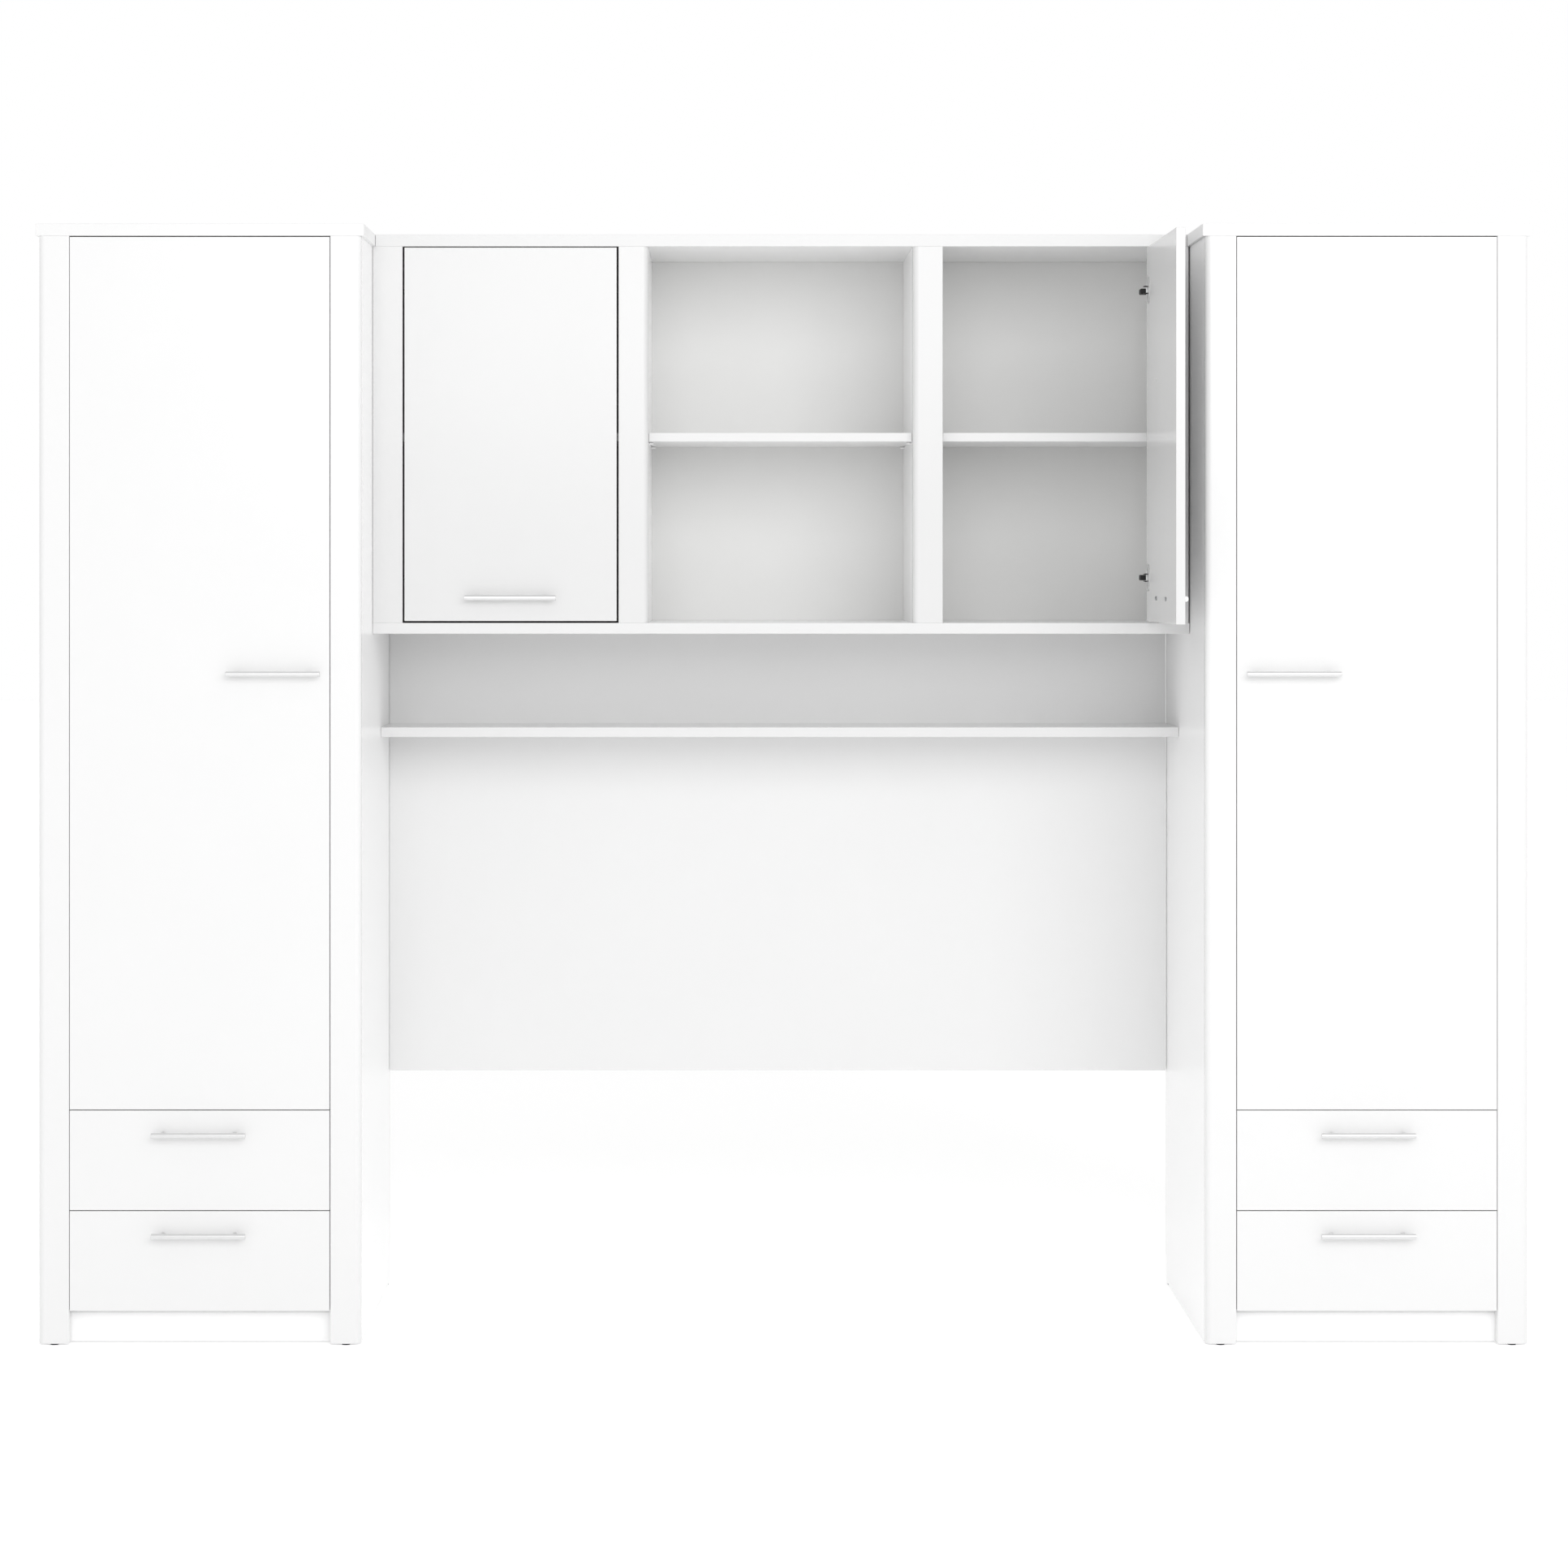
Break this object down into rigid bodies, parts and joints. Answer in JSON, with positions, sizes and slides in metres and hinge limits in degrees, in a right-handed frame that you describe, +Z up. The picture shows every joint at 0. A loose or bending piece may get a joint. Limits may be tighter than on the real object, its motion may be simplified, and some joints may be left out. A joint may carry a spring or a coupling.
{
  "type": "over-bed wardrobe unit",
  "caption": "White over-bed storage unit: side wardrobes with doors and drawers, a bridge cabinet between their tops, a wall panel and a shelf over the bed head.",
  "frame": {"origin": "on the floor, in the middle of the width and of the whole depth, from the wall plane to the front edge of the bridge door as it stands open", "axes": "+X to the right as seen from the front, +Y towards the wall, +Z up"},
  "size_m": [2.67, 0.7402, 2.003],
  "materials": {
    "white_melamine_board": "white melamine on chipboard, satin, fine orange-peel",
    "white_foil_front": "smooth white foil on board, soft satin sheen",
    "drawer_board": "white melamine drawer board, matt",
    "white_hardboard": "white lacquered hardboard, matt",
    "satin_nickel_bar": "brushed satin nickel",
    "nickel_plated_steel": "nickel plated pressed steel",
    "dark_hinge_steel": "dark hinge arm, semi-gloss",
    "powder_coated_runner": "white powder coat",
    "chromed_rail": "bright chrome plate",
    "zinc_plated_steel": "zinc plated, slightly dull",
    "nylon_glide": "dark nylon, matt"
  },
  "bodies": {
    "carcass": {"left_outer_side": "white_melamine_board", "left_inner_side": "white_melamine_board", "right_inner_side": "white_melamine_board", "right_outer_side": "white_melamine_board", "left_posts": "white_melamine_board", "right_posts": "white_melamine_board", "wardrobe_tops": "white_melamine_board", "wardrobe_bottoms": "white_melamine_board", "plinths": "white_melamine_board", "drawer_decks": "white_melamine_board", "hat_shelves": "white_melamine_board", "wardrobe_backs": "white_hardboard", "clothes_rails": "chromed_rail", "rail_sockets": "chromed_rail", "runner_battens": "white_melamine_board", "cabinet_runners": "powder_coated_runner", "hinge_arms": "dark_hinge_steel", "hinge_plates": "nickel_plated_steel", "floor_glides": "nylon_glide", "shelf_pins": "zinc_plated_steel", "connector_bolts": "zinc_plated_steel", "angle_brackets": "zinc_plated_steel", "shelf_screws": "zinc_plated_steel", "bridge_top": "white_melamine_board", "bridge_bottom": "white_melamine_board", "bridge_sides": "white_melamine_board", "bridge_dividers": "white_melamine_board", "bridge_posts": "white_melamine_board", "bridge_shelves": "white_melamine_board", "bridge_back": "white_hardboard", "wall_panel": "white_melamine_board", "wall_shelf": "white_melamine_board"},
    "left_door": {"left_door": "white_foil_front", "left_door_hinge_cups": "nickel_plated_steel", "left_door_handle": "satin_nickel_bar"},
    "right_door": {"right_door": "white_foil_front", "right_door_hinge_cups": "nickel_plated_steel", "right_door_handle": "satin_nickel_bar"},
    "bridge_left_door": {"bridge_left_door": "white_foil_front", "bridge_left_hinge_cups": "nickel_plated_steel", "bridge_left_handle": "satin_nickel_bar"},
    "bridge_right_door": {"bridge_right_door": "white_foil_front", "bridge_right_hinge_cups": "nickel_plated_steel", "bridge_right_handle": "satin_nickel_bar"},
    "left_lower_drawer": {"left_lower_front": "white_foil_front", "left_lower_box": "drawer_board", "left_lower_runners": "powder_coated_runner", "left_lower_handle": "satin_nickel_bar"},
    "left_upper_drawer": {"left_upper_front": "white_foil_front", "left_upper_box": "drawer_board", "left_upper_runners": "powder_coated_runner", "left_upper_handle": "satin_nickel_bar"},
    "right_lower_drawer": {"right_lower_front": "white_foil_front", "right_lower_box": "drawer_board", "right_lower_runners": "powder_coated_runner", "right_lower_handle": "satin_nickel_bar"},
    "right_upper_drawer": {"right_upper_front": "white_foil_front", "right_upper_box": "drawer_board", "right_upper_runners": "powder_coated_runner", "right_upper_handle": "satin_nickel_bar"}
  },
  "joints": [
    {"name": "left_door_hinge", "type": "hinge", "parent": "carcass", "child": "left_door", "pos_m": [-1.2715, -0.18994, 1.2], "axis": [0, 0, -1], "range_deg": [0, 110]},
    {"name": "right_door_hinge", "type": "hinge", "parent": "carcass", "child": "right_door", "pos_m": [1.2715, -0.18994, 1.2], "axis": [0, 0, 1], "range_deg": [0, 110]},
    {"name": "bridge_left_door_hinge", "type": "hinge", "parent": "carcass", "child": "bridge_left_door", "pos_m": [-0.6925, 0.01906, 1.6345], "axis": [0, 0, -1], "range_deg": [0, 95]},
    {"name": "bridge_right_door_hinge", "type": "hinge", "parent": "carcass", "child": "bridge_right_door", "pos_m": [0.6905, 0.01906, 1.6345], "axis": [0, 0, 1], "range_deg": [-90.5, 4.5]},
    {"name": "left_lower_drawer_slide", "type": "slide", "parent": "carcass", "child": "left_lower_drawer", "axis": [0, -1, 0], "range_m": [0, 0.34]},
    {"name": "left_upper_drawer_slide", "type": "slide", "parent": "carcass", "child": "left_upper_drawer", "axis": [0, -1, 0], "range_m": [0, 0.34]},
    {"name": "right_lower_drawer_slide", "type": "slide", "parent": "carcass", "child": "right_lower_drawer", "axis": [0, -1, 0], "range_m": [0, 0.34]},
    {"name": "right_upper_drawer_slide", "type": "slide", "parent": "carcass", "child": "right_upper_drawer", "axis": [0, -1, 0], "range_m": [0, 0.34]}
  ]
}
